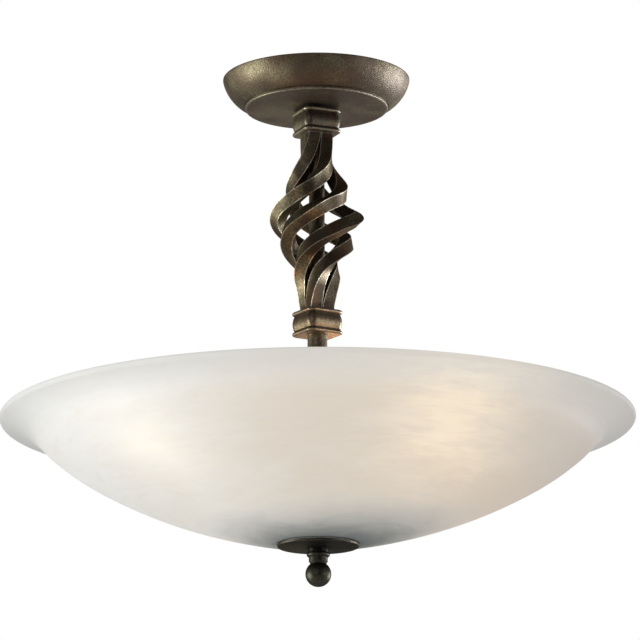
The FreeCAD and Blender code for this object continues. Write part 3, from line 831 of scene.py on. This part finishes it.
# Beads and grooves run from a lower to an upper level. A step or an edge is a ring's radius and level. The
# beads, the dish's step and the cap's edge get painted highlights, and the grooves and the finial's shoulder
# get painted shade.
COLLAR_BEADS = ((-29.8 * MM, -26.5 * MM), (-46.5 * MM, -43.2 * MM), (-197.8 * MM, -194.5 * MM),
                (-214.5 * MM, -211.2 * MM))
COLLAR_GROOVES = ((-30.6 * MM, -30.0 * MM), (-43.0 * MM, -42.4 * MM), (-198.6 * MM, -198.0 * MM),
                  (-211.0 * MM, -210.4 * MM))
DISH_STEP = (57.9 * MM, -24.1 * MM)
CAP_EDGE = (31.9 * MM, -385.6 * MM)
FINIAL_SHOULDER = (-391.6 * MM, -388.4 * MM)
BRONZE = AgedBronze("aged_bronze", grazing=(0.62, 0.58, 0.48))
COLLAR_BRONZE = AgedBronze("aged_bronze_collar", dark=(0.060, 0.047, 0.034), bloom=(0.165, 0.142, 0.090),
                           rubbed_and_highlight=(0.46, 0.42, 0.30), bands=COLLAR_BEADS, grooves=COLLAR_GROOVES, gloss=0.42)
# A lighter, warmer copy of the collar bronze for the lower collar: painted warm light from the bulbs below
# it.
WARM_LIT_COLLAR_BRONZE = AgedBronze("aged_bronze_collar_warm_lit", dark=(0.080, 0.056, 0.036), bloom=(0.205, 0.160, 0.096),
                           rubbed_and_highlight=(0.50, 0.40, 0.29), copper=(0.24, 0.125, 0.062), copper_share=0.75,
                           bands=COLLAR_BEADS, grooves=COLLAR_GROOVES, gloss=0.42)
# Nothing rubs the tubes and no highlight is painted on them: a ring with a share of 0 stands in for their
# edges.
TUBE_BRONZE = AgedBronze("aged_bronze_tube", wear_and_highlight=0.0, rings=((0.0, 0.0),))
# The ring at the dish's step is a painted highlight line.
DISH_BRONZE = AgedBronze("aged_bronze_dish", dark=(0.066, 0.046, 0.030), copper=(0.100, 0.058, 0.040),
                         copper_share=0.25, gloss=0.49, coat=0.08, rings=(DISH_STEP,), ring_width=2.0 * MM,
                         wear_and_highlight=0.25, grain=0.42 * MM, grains=700.0, fleck_share=0.30)
# The ring at the cap's edge is a painted highlight line, and the finial's shoulder gets painted shade.
CAP_BRONZE = AgedBronze("aged_bronze_cap", dark=(0.025, 0.023, 0.018), bloom=(0.058, 0.054, 0.038),
                        copper=(0.045, 0.035, 0.026), copper_share=0.2, gloss=0.46, fleck_share=0.10,
                        rings=(CAP_EDGE,), wear_and_highlight=0.08, grooves=(FINIAL_SHOULDER,), grazing=(0.35, 0.34, 0.31))
ZINC = ZincPlate("zinc_plate")
GREEN = ZincPlate("green_plate", base=(0.05, 0.26, 0.10), tint=Layer((0.08, 0.32, 0.14), (0.35, 0.70)))
BRASS = LampBrass("lamp_brass")
PORCELAIN = GlazedPorcelain("glazed_porcelain")
GLASS = AlabasterGlass("swirled_glass")
GASKET = SoftGasket("soft_gasket")


def dress(finish: Finish, *nodes: str) -> None:
    """Give CAD nodes a finish through their material slots.

    Args:
        finish: the finish.
        nodes: the nodes' names.
    """
    for name in nodes:
        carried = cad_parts[name]
        if not carried.material_slots:
            carried.data.materials.append(finish.material())
        for place in carried.material_slots:
            place.material = finish.material()
        LOG.info("%s: %s", name, finish.name)


def turn_outline(mesh: bmesh.types.BMesh, outline: Outline, sides: int) -> None:
    """Spin an outline all the way round z.

    Args:
        mesh: the mesh to build in.
        outline: the (radius, height) pairs from one end to the other.
        sides: how many steps the full turn has.
    """
    points = [mesh.verts.new((radius, 0.0, height)) for radius, height in outline]
    lines = [mesh.edges.new(pair) for pair in zip(points, points[1:])]
    bmesh.ops.spin(mesh, geom=points + lines, cent=(0, 0, 0), axis=(0, 0, 1), steps=sides,
                   angle=2 * math.pi, dvec=(0, 0, 0), use_merge=True, use_duplicate=False)


def finished(mesh: bmesh.types.BMesh, name: str, finish: Finish, sharp: float = 35.0) -> bpy.types.Object:
    """Turn a bmesh into a smooth shaded piece at the origin.

    Args:
        mesh: the bmesh, which is freed.
        name: the piece's name.
        finish: its finish.
        sharp: the angle in degrees past which an edge stays sharp.

    Returns:
        The piece.
    """
    data = bpy.data.meshes.new(name)
    mesh.to_mesh(data)
    mesh.free()
    data.shade_smooth()
    data.set_sharp_from_angle(angle=math.radians(sharp))
    data.materials.append(finish.material())
    piece = bpy.data.objects.new(name, data)
    bpy.context.scene.collection.objects.link(piece)
    return piece


@dataclass(frozen=True)
class RolledThread:
    """A rounded thread that winds up about z."""

    crest: float
    root: float
    pitch: float
    start: float
    turns: int
    sides: int = 24
    rows: int = 4

    @property
    def end(self) -> float:
        """The height at which its last turn ends."""
        return self.start + self.pitch * (self.turns + 1)

    def wound(self, outlines: tuple[Outline, ...], weld: float, place: Matrix) -> bmesh.types.BMesh:
        """Spin a helix from one pitch of its wave, and turn the plain stretches that join it.

        Args:
            outlines: the stretches' outlines.
            weld: how near two points are joined.
            place: what moves its axis into place.

        Returns:
            The mesh, in place.
        """
        mesh, row = bmesh.new(), []
        for i in range(self.rows + 1):
            share = i / self.rows
            swell = 0.5 - 0.5 * math.cos(2 * math.pi * share)
            radius = self.root + (self.crest - self.root) * swell
            row.append(mesh.verts.new((radius, 0.0, self.start + self.pitch * share)))
        lines = [mesh.edges.new(pair) for pair in zip(row, row[1:])]
        bmesh.ops.spin(mesh, geom=row + lines, cent=(0, 0, 0), axis=(0, 0, 1), steps=self.sides * self.turns,
                       angle=2 * math.pi * self.turns, dvec=(0, 0, self.pitch / self.sides),
                       use_merge=False, use_duplicate=False)
        for outline in outlines:
            turn_outline(mesh, outline, self.sides)
        bmesh.ops.remove_doubles(mesh, verts=mesh.verts, dist=weld)
        bmesh.ops.recalc_face_normals(mesh, faces=mesh.faces)
        bmesh.ops.transform(mesh, matrix=place, verts=mesh.verts)
        return mesh


@dataclass
class ThreadedSteel:
    """A zinc plated pipe or screw with a real thread, in place of the plain solid."""

    node: str
    thread: RolledThread
    outlines: tuple[Outline, ...]
    across: float = 0.0
    weld: float = 0.005 * MM
    sharp: float = 60.0

    def build(self) -> None:
        """Wind the thread and put the piece in its place."""
        mesh = self.thread.wound(self.outlines, self.weld, Matrix.Translation((self.across, 0.0, 0.0)))
        piece = finished(mesh, f"{self.node}_threaded", ZINC, self.sharp)
        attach(piece, "fixture")
        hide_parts(self.node)
        LOG.info("%s: %d faces", piece.name, len(piece.data.polygons))


@dataclass(frozen=True)
class ThreadedPipe:
    """A hollow pipe, threaded from its lower end up to thread_top."""

    node: str
    low: float
    high: float
    thread_top: float
    crest: float = 4.9 * MM
    root: float = 4.35 * MM
    bore: float = 3.4 * MM
    pitch: float = 25.4 / 27 * MM
    lead: float = 0.5 * MM
    tuck: float = 0.2 * MM
    step: float = 0.1 * MM
    lead_step: float = 0.3 * MM
    chamfer: float = 0.6 * MM

    def build(self) -> None:
        """Make the pipe: lead-in cone, bore, plain stretch, and ends tucked under the thread."""
        start = self.low + self.lead
        thread = RolledThread(self.crest, self.root, self.pitch, start,
                              int((self.thread_top - start) / self.pitch) - 1)
        inner = self.root - self.tuck
        lead_in = ((inner, start + self.pitch * 1.2), (self.root + self.step, start + self.pitch),
                   (self.crest - self.step, start + self.lead_step), (self.root, self.low))
        bore = ((self.bore, self.low), (self.bore, self.high))
        plain = ((self.root, self.high), (self.crest, self.high - self.chamfer),
                 (self.crest, thread.end - self.pitch), (inner, thread.end - self.pitch * 1.5))
        ThreadedSteel(self.node, thread, (lead_in + bore + plain,)).build()


@dataclass(frozen=True)
class BoxScrew:
    """A round headed screw that goes up through the bar into the ceiling box."""

    node: str
    across: float
    crest: float = 2.08 * MM
    root: float = 1.65 * MM
    pitch: float = 25.4 / 32 * MM
    turns: int = 15
    rows: int = 6
    start: float = 0.2 * MM
    tip: float = 14.0 * MM
    head: float = 4.1 * MM
    seat: float = -2.0 * MM
    crown: tuple[Span, ...] = ((0.0, 2.6 * MM), (0.45, 2.5 * MM), (0.8, 2.0 * MM), (0.97, 1.2 * MM),
                               (1.0, 0.4 * MM))
    neck: float = 2.25 * MM
    neck_step: float = 0.05 * MM
    runout: float = 0.1 * MM
    tuck: float = 0.2 * MM

    def build(self) -> None:
        """Make the screw: crowned head, plain neck through the bar, thread and blunt tip."""
        thread = RolledThread(self.crest, self.root, self.pitch, self.start, self.turns, rows=self.rows)
        crown = tuple((self.head * share, self.seat - above) for share, above in self.crown)
        inner = self.root - self.tuck
        neck = ((self.head, self.seat), (self.neck, self.seat), (self.neck, 0.0),
                (self.crest, self.neck_step), (self.root + self.runout, self.pitch + self.tuck),
                (inner, self.pitch + 2 * self.tuck))
        tip = ((inner, thread.end - self.pitch * 1.4), (self.crest, thread.end - self.pitch * 0.9),
               (self.crest, thread.end - self.pitch * 0.4), (self.root * 0.85, self.tip), (0.0, self.tip))
        ThreadedSteel(self.node, thread, (crown + neck, tip), self.across).build()


@dataclass
class CeilingPlate:
    """The round dish against the ceiling, with the bar, screws and nipple that hold it."""

    dish: tuple[str, ...] = ("canopy", "canopy_washer")
    steel: tuple[str, ...] = ("mounting_bar", "nipple_nut")
    screw_place: float = 44.45 * MM
    nipple_low: float = -38.2 * MM
    nipple_high: float = -0.3 * MM
    nipple_thread_top: float = -1.2 * MM

    def build(self) -> None:
        """Dress the plate's nodes, and thread its pipe and screws."""
        dress(DISH_BRONZE, *self.dish)
        dress(ZINC, *self.steel)
        dress(GREEN, "ground_screw")
        ThreadedPipe("threaded_nipple", self.nipple_low, self.nipple_high, self.nipple_thread_top).build()
        BoxScrew("box_screw_1", self.screw_place).build()
        BoxScrew("box_screw_2", -self.screw_place).build()


@dataclass
class TwistedBasket:
    """Four twisted square bars between two square collars."""

    bars: int = 4

    def build(self) -> None:
        """Dress the basket's nodes."""
        dress(BRONZE, *(f"cage_bar_{k}" for k in range(1, self.bars + 1)))
        dress(COLLAR_BRONZE, "upper_collar")
        dress(WARM_LIT_COLLAR_BRONZE, "lower_collar")
        dress(TUBE_BRONZE, "core_tube", "stem_tube")


@dataclass
class LampCluster:
    """The hexagonal hub under the stem with its cover, nut and rod."""

    hub: tuple[str, ...] = ("cluster_body", "cluster_cover")
    steel: tuple[str, ...] = ("cluster_nut", "stop_nut", "stop_washer")
    rod_low: float = -401.3 * MM
    rod_high: float = -200.5 * MM
    rod_thread_top: float = -316.0 * MM

    def build(self) -> None:
        """Dress the hub's nodes and thread the rod's lower end."""
        dress(BRONZE, *self.hub)
        dress(ZINC, *self.steel)
        ThreadedPipe("centre_rod", self.rod_low, self.rod_high, self.rod_thread_top).build()


@dataclass
class Lamp:
    """One arm with its socket and its bulb, and the bulb's rolled screw base."""

    number: int
    level: float = -304.0 * MM
    base_start: float = 43.0 * MM
    tip_radius: float = 3.0 * MM
    solder: float = 0.5 * MM
    insulator_start: Span = (0.6 * MM, 1.1 * MM)
    insulator_inset: float = 1.0 * MM
    cone: float = 4.0 * MM
    shoulder: float = 0.9 * MM
    thread_gap: float = 0.3 * MM
    length: float = 26.8 * MM
    crest: float = 13.0 * MM
    root: float = 12.15 * MM
    tuck: float = 0.25 * MM
    tuck_run: float = 0.5 * MM
    skirt: float = 1.2 * MM
    skirt_wall: float = 0.6 * MM
    pitch: float = 3.63 * MM
    turns: int = 5
    sides: int = 48
    rows: int = 8
    weld: float = 0.01 * MM
    bulb_out: float = 121.8 * MM

    @property
    def turn(self) -> float:
        """The arm's direction, in radians from +X."""
        return math.radians(LAMP_TURNS[self.number - 1])

    def along(self, out: float) -> Point:
        """Give the point at that distance out along the arm's line."""
        return (out * math.cos(self.turn), out * math.sin(self.turn), self.level)

    def screw_base(self) -> bpy.types.Object:
        """Make the screw base: solder dot, glass insulator cone, rolled thread and plain skirt.

        Returns:
            The finished piece, in place.
        """
        tip, end = self.base_start, self.base_start + self.length
        inner, cone = self.root - self.tuck, tip + self.cone
        thread = RolledThread(self.crest, self.root, self.pitch, cone + self.shoulder + self.thread_gap,
                              self.turns, self.sides, self.rows)
        first, last = thread.start + self.pitch, thread.end - self.pitch
        aside, above = self.insulator_start
        solder = ((0.0, tip), (self.tip_radius * 0.6, tip), (self.tip_radius, tip + self.solder))
        insulator = ((self.tip_radius + aside, tip + above), (inner - self.insulator_inset, cone))
        shoulder = ((self.root, cone + self.shoulder), (self.root, first), (inner, first + self.tuck_run))
        skirt = ((inner, last - self.tuck_run), (self.root, last), (self.crest, end - self.skirt),
                 (self.crest, end), (self.crest - self.skirt_wall, end))
        turned = Matrix.Translation((0.0, 0.0, self.level)) @ Matrix.Rotation(self.turn, 4, "Z")
        mesh = thread.wound((solder + insulator + shoulder, skirt), self.weld,
                            turned @ Matrix.Rotation(math.pi / 2, 4, "Y"))
        return finished(mesh, f"bulb_screw_base_{self.number}", BRASS)

    def build(self) -> None:
        """Dress the lamp's nodes and add its screw base."""
        dress(TUBE_BRONZE, f"socket_arm_{self.number}")
        dress(PORCELAIN, f"socket_{self.number}")
        dress(BRASS, f"screw_shell_{self.number}", f"centre_contact_{self.number}")
        bulb = LitBulb(f"lit_bulb_{self.number}", place=self.along(self.bulb_out))
        dress(bulb, f"bulb_glass_{self.number}")
        base = self.screw_base()
        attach(base, f"lamp_{self.number}")
        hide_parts(f"bulb_base_{self.number}")
        LOG.info("%s: %d faces", base.name, len(base.data.polygons))


@dataclass
class GlassBowl:
    """The flared glass bowl on its two gaskets, held up by the cap and its ball finial."""

    gaskets: tuple[str, ...] = ("upper_gasket", "lower_gasket")
    foot: tuple[str, ...] = ("bowl_cap", "finial")

    def build(self) -> None:
        """Dress the bowl's, gaskets', cap's and finial's nodes."""
        dress(GLASS, "glass_bowl")
        dress(GASKET, *self.gaskets)
        dress(CAP_BRONZE, *self.foot)


@dataclass
class Softbox:
    """A square soft lamp that can't be seen itself."""

    name: str
    place: Point
    target: Point
    size: float
    level: float
    tint: Colour = (1.0, 1.0, 1.0)
    only_gloss: bool = False

    def build(self) -> None:
        """Hang the lamp, with its power worked out from its level of brightness."""
        light = bpy.data.lights.new(self.name, "AREA")
        light.shape = "SQUARE"
        light.size = self.size
        light.energy = self.level * math.pi * self.size ** 2
        light.color = self.tint
        lamp = bpy.data.objects.new(self.name, light)
        lamp.location = self.place
        lamp.rotation_mode = "QUATERNION"
        lamp.rotation_quaternion = (Vector(self.target) - Vector(self.place)).to_track_quat("-Z", "Y")
        lamp.visible_camera = False
        lamp.visible_diffuse = not self.only_gloss
        bpy.context.scene.collection.objects.link(lamp)
        LOG.info("%s: %.1f W", self.name, light.energy)


@dataclass
class Studio:
    """White surroundings, soft lamps, a pale floor and the camera."""

    lens: float = 213.75
    sensor: float = 36.0
    clip: Span = (0.05, 100.0)
    place: Point = (0.0022, -2.974, -0.923)
    pitch: float = 13.64
    roll: float = -0.25
    room_level: float = 0.62
    floor_level: float = -2.4
    floor_radius: float = 3.0
    floor_sides: int = 96
    drape_radius: float = 7.0
    drape_sides: int = 64
    drape_low: float = -4.5
    drape_high: float = 3.4
    bulb_out: float = 0.10
    bulb_height: float = -0.268
    bulb_size: float = 0.045
    bulb_level: float = 4.2
    bulb_tint: Colour = (1.0, 0.52, 0.26)
    collar_foot: Point = (0.0, 0.0, -0.12)
    lamps: tuple[Softbox, ...] = field(default_factory=lambda: (
        Softbox("key_left", (-2.25, -0.3, -0.70), (0.0, 0.0, -0.25), 1.2, 3.6, (0.96, 1.0, 1.0)),
        Softbox("glint_left", (-2.20, 0.12, -0.82), (0.0, 0.0, -0.2), 1.1, 13.8, (0.96, 1.0, 0.88),
                only_gloss=True),
        Softbox("rim_right", (2.0, 1.35, -0.45), (0.0, 0.0, -0.2), 0.9, 2.0, (1.0, 0.96, 0.93)),
        Softbox("glint_right", (2.1, 1.15, -0.53), (0.0, 0.0, -0.15), 1.1, 22.0, (0.90, 0.93, 1.0),
                only_gloss=True),
        Softbox("glint_front", (2.4, -1.2, -0.50), (0.0, 0.0, -0.15), 1.3, 4.2, (0.97, 0.97, 1.0),
                only_gloss=True),
        Softbox("front_soft", (-1.3, -3.2, 0.3), (0.0, 0.0, -0.25), 1.4, 2.5, (1.0, 0.99, 0.97))))

    def surroundings(self) -> None:
        """Make a world that is white to the eye, in gloss and through glass, and plain as a light."""
        world = bpy.data.worlds.new("white_room")
        bpy.context.scene.world = world
        graph = Graph(world)
        path = graph.node("ShaderNodeLightPath").outputs
        seen = (Wire(graph, path["Is Camera Ray"]) + Wire(graph, path["Is Glossy Ray"])
                + Wire(graph, path["Is Transmission Ray"])).held()
        level = seen * (1.0 - self.room_level) + self.room_level
        back = graph.node("ShaderNodeBackground", sockets={"Color": (1.0, 1.0, 1.0), "Strength": level})
        graph.node("ShaderNodeOutputWorld", sockets={"Surface": back.outputs[0]})

    def floor(self) -> None:
        """Lay a round pale floor far below the light."""
        mesh = bmesh.new()
        bmesh.ops.create_circle(mesh, cap_ends=True, segments=self.floor_sides, radius=self.floor_radius)
        bmesh.ops.translate(mesh, vec=(0.0, 0.0, self.floor_level), verts=mesh.verts)
        piece = finished(mesh, "pale_floor", PaleFloor("pale_floor"))

    def drapes(self) -> None:
        """Hang a round tent of dark drapes that only gloss sees."""
        mesh = bmesh.new()
        bmesh.ops.create_circle(mesh, cap_ends=True, segments=self.drape_sides, radius=self.drape_radius)
        bmesh.ops.translate(mesh, vec=(0.0, 0.0, self.drape_high), verts=mesh.verts)
        drawn = bmesh.ops.extrude_edge_only(mesh, edges=mesh.edges)
        hem = [v for v in drawn["geom"] if isinstance(v, bmesh.types.BMVert)]
        bmesh.ops.translate(mesh, vec=(0.0, 0.0, self.drape_low - self.drape_high), verts=hem)
        piece = finished(mesh, "dark_drapes", DarkDrapes("dark_drapes"))
        piece.visible_camera = piece.visible_diffuse = piece.visible_shadow = False
        piece.visible_transmission = False

    def camera(self) -> None:
        """Set the camera where the photograph was taken from."""
        lens = bpy.data.cameras.new("camera")
        lens.lens = self.lens
        lens.sensor_width = self.sensor
        lens.clip_start, lens.clip_end = self.clip
        camera = bpy.data.objects.new("camera", lens)
        tilt = Matrix.Rotation(math.radians(90.0 + self.pitch), 4, "X")
        camera.matrix_world = (Matrix.Translation(self.place) @ tilt
                               @ Matrix.Rotation(math.radians(self.roll), 4, "Z"))
        bpy.context.scene.collection.objects.link(camera)
        bpy.context.scene.camera = camera

    def warm_lamps(self) -> None:
        """Hang a small warm lamp over each bulb, for the light that it throws up at the collar."""
        for number, turn in enumerate(LAMP_TURNS, 1):
            angle = math.radians(turn)
            place = (self.bulb_out * math.cos(angle), self.bulb_out * math.sin(angle), self.bulb_height)
            Softbox(f"bulb_light_{number}", place, self.collar_foot, self.bulb_size, self.bulb_level,
                    self.bulb_tint).build()

    def build(self) -> None:
        """Make everything that isn't part of the light."""
        self.surroundings()
        self.floor()
        self.drapes()
        for lamp in self.lamps:
            lamp.build()
        self.warm_lamps()
        self.camera()
        bpy.context.scene.view_settings.view_transform = "Standard"


def main() -> None:
    """Build the light's looks and the studio, in order."""
    logging.basicConfig(level=logging.INFO, format="%(message)s")
    CeilingPlate().build()
    TwistedBasket().build()
    LampCluster().build()
    for number in range(1, len(LAMP_TURNS) + 1):
        Lamp(number).build()
    GlassBowl().build()
    Studio().build()


if __name__ == "__main__":
    main()
